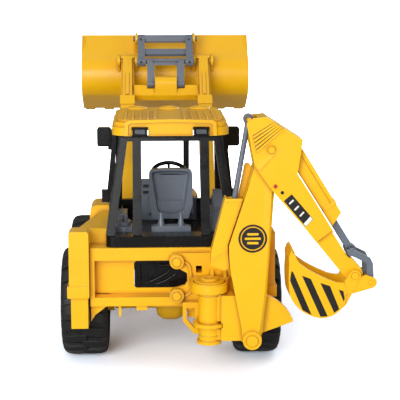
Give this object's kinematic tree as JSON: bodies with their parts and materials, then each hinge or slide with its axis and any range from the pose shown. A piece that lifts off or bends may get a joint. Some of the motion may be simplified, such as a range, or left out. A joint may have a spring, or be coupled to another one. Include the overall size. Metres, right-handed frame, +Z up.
{
  "type": "toy backhoe loader",
  "caption": "Toy backhoe loader: cab on four lugged wheels, lifting front bucket with tilt linkage, and a side-shifting, slewing digger arm at the back.",
  "frame": {"origin": "centre of the bottom of the whole object's bounding box, in the rest pose", "axes": "+Z up, +Y forwards to the loader bucket, +X to the machine's right"},
  "size_m": [0.2452, 0.3638, 0.2563],
  "materials": {
    "yellow_plastic": "satin moulded",
    "rim_plastic": "satin moulded",
    "black_plastic": "fine moulded texture",
    "grey_plastic": "satin moulded",
    "tyre": "moulded rubber",
    "axle_steel": "drawn"
  },
  "bodies": {
    "chassis": {"chassis_frame": "yellow_plastic", "rear_frame": "yellow_plastic", "rear_insert": "black_plastic", "rear_axle_housing": "yellow_plastic", "front_axle_housing": "yellow_plastic", "rear_axle": "axle_steel", "front_axle": "axle_steel", "fender_left": "yellow_plastic", "fender_right": "yellow_plastic", "cab_base": "black_plastic", "cab_frame": "black_plastic", "roof": "yellow_plastic", "work_light_left": "black_plastic", "work_light_right": "black_plastic", "mirror_left": "black_plastic", "mirror_right": "black_plastic", "seat": "grey_plastic", "seat_base": "black_plastic", "console_left": "grey_plastic", "console_right": "grey_plastic", "lever_console": "grey_plastic", "dash_panel": "grey_plastic", "hood": "yellow_plastic", "grille": "black_plastic", "exhaust_stack": "black_plastic", "loader_tower_left": "yellow_plastic", "loader_tower_right": "yellow_plastic", "stabiliser_box_left": "yellow_plastic", "stabiliser_box_right": "yellow_plastic"},
    "wheel_rear_left": {"tyre_rear_left": "tyre", "rim_rear_left": "rim_plastic"},
    "wheel_rear_right": {"tyre_rear_right": "tyre", "rim_rear_right": "rim_plastic"},
    "wheel_front_left": {"tyre_front_left": "tyre", "rim_front_left": "rim_plastic"},
    "wheel_front_right": {"tyre_front_right": "tyre", "rim_front_right": "rim_plastic"},
    "steering": {"steering_wheel": "black_plastic"},
    "side_door_left": {"door_left": "black_plastic"},
    "side_door_right": {"door_right": "black_plastic"},
    "leg_left": {"stabiliser_leg_left": "yellow_plastic"},
    "leg_right": {"stabiliser_leg_right": "yellow_plastic"},
    "loader": {"loader_arms": "yellow_plastic"},
    "front_bucket": {"loader_bucket": "yellow_plastic"},
    "lever": {"tilt_lever": "grey_plastic"},
    "link": {"tilt_link": "grey_plastic"},
    "slew_carriage": {"carriage": "yellow_plastic", "kingpost_pin": "yellow_plastic"},
    "slew": {"swing_body": "yellow_plastic", "boom_pivot_pin": "yellow_plastic"},
    "boom_arm": {"boom": "yellow_plastic", "dipper_ram_casing": "yellow_plastic"},
    "dipper_arm": {"dipper": "yellow_plastic", "dipper_pivot_pin": "yellow_plastic", "bucket_ram_casing": "yellow_plastic"},
    "dipper_rod": {"dipper_ram_rod": "grey_plastic"},
    "bucket_rod": {"bucket_ram_rod": "grey_plastic"},
    "digging_bucket": {"backhoe_bucket": "yellow_plastic", "bucket_pivot_pin": "yellow_plastic"},
    "bucket_rocker": {"bucket_link": "grey_plastic"}
  },
  "joints": [
    {"name": "wheel_rear_left_spin", "type": "hinge", "parent": "chassis", "child": "wheel_rear_left", "pos_m": [-0.10265, -0.08065, 0.045], "axis": [1, 0, 0], "continuous": true},
    {"name": "wheel_rear_right_spin", "type": "hinge", "parent": "chassis", "child": "wheel_rear_right", "pos_m": [0.03735, -0.08065, 0.045], "axis": [1, 0, 0], "continuous": true},
    {"name": "wheel_front_left_spin", "type": "hinge", "parent": "chassis", "child": "wheel_front_left", "pos_m": [-0.10265, 0.05635, 0.045], "axis": [1, 0, 0], "continuous": true},
    {"name": "wheel_front_right_spin", "type": "hinge", "parent": "chassis", "child": "wheel_front_right", "pos_m": [0.03735, 0.05635, 0.045], "axis": [1, 0, 0], "continuous": true},
    {"name": "steering_wheel_turn", "type": "hinge", "parent": "chassis", "child": "steering", "pos_m": [-0.03265, -0.03065, 0.1439], "axis": [0, -0.5, 0.866], "continuous": true},
    {"name": "door_left_swing", "type": "hinge", "parent": "chassis", "child": "side_door_left", "pos_m": [-0.08265, -0.01945, 0.1539], "axis": [0, 0, -1], "range_deg": [0, 75]},
    {"name": "door_right_swing", "type": "hinge", "parent": "chassis", "child": "side_door_right", "pos_m": [0.01735, -0.01945, 0.1539], "axis": [0, 0, 1], "range_deg": [0, 75]},
    {"name": "stabiliser_left_slide", "type": "slide", "parent": "chassis", "child": "leg_left", "axis": [0, 0, -1], "range_m": [0, 0.0379]},
    {"name": "stabiliser_right_slide", "type": "slide", "parent": "chassis", "child": "leg_right", "axis": [0, 0, -1], "range_m": [0, 0.0379]},
    {"name": "loader_lift", "type": "hinge", "parent": "chassis", "child": "loader", "pos_m": [-0.03265, 0.02435, 0.1019], "axis": [1, 0, 0], "range_deg": [-78, 4]},
    {"name": "bucket_tilt", "type": "hinge", "parent": "loader", "child": "front_bucket", "pos_m": [-0.03265, 0.13135, 0.2299], "axis": [-1, 0, 0], "range_deg": [-108, 18]},
    {"name": "tilt_lever_pivot", "type": "hinge", "parent": "loader", "child": "lever", "pos_m": [-0.03265, 0.10935, 0.2089], "axis": [-1, 0, 0], "range_deg": [-108, 18]},
    {"name": "tilt_link_pivot", "type": "hinge", "parent": "front_bucket", "child": "link", "pos_m": [-0.03265, 0.13735, 0.2509], "axis": [-1, 0, 0], "range_deg": [-18, 108]},
    {"name": "carriage_slide", "type": "slide", "parent": "chassis", "child": "slew_carriage", "axis": [1, 0, 0], "range_m": [-0.058, 0]},
    {"name": "backhoe_slew", "type": "hinge", "parent": "slew_carriage", "child": "slew", "pos_m": [-0.00465, -0.16565, 0.0539], "axis": [0, 0, 1], "range_deg": [-180, 0]},
    {"name": "boom_lift", "type": "hinge", "parent": "slew", "child": "boom_arm", "pos_m": [0.02775, -0.16565, 0.0372], "axis": [0, 1, 0], "range_deg": [0, 41]},
    {"name": "dipper_swing", "type": "hinge", "parent": "boom_arm", "child": "dipper_arm", "pos_m": [0.04085, -0.16565, 0.1849], "axis": [0, -1, 0], "range_deg": [-3, 50]},
    {"name": "dipper_rod_pivot", "type": "hinge", "parent": "dipper_arm", "child": "dipper_rod", "pos_m": [0.02455, -0.16565, 0.2067], "axis": [0, -1, 0], "range_deg": [-46, 3]},
    {"name": "digging_bucket_curl", "type": "hinge", "parent": "dipper_arm", "child": "digging_bucket", "pos_m": [0.10575, -0.16565, 0.0878], "axis": [0, -1, 0], "range_deg": [-5, 70]},
    {"name": "bucket_rod_slide", "type": "slide", "parent": "dipper_arm", "child": "bucket_rod", "axis": [0.53, 0, -0.848], "range_m": [-0.0135, 0.001]},
    {"name": "bucket_link_pivot", "type": "hinge", "parent": "digging_bucket", "child": "bucket_rocker", "pos_m": [0.11825, -0.16565, 0.0823], "axis": [0, -1, 0], "range_deg": [-58, 5]}
  ],
  "couplings": [
    {"joint": "tilt_lever_pivot", "follows": "bucket_tilt", "ratio": 1},
    {"joint": "tilt_link_pivot", "follows": "bucket_tilt", "ratio": -1},
    {"joint": "dipper_rod_pivot", "follows": "dipper_swing", "ratio": -0.91},
    {"joint": "bucket_rod_slide", "follows": "digging_bucket_curl", "m_per_rad": -0.01096},
    {"joint": "bucket_link_pivot", "follows": "digging_bucket_curl", "ratio": -0.819}
  ]
}
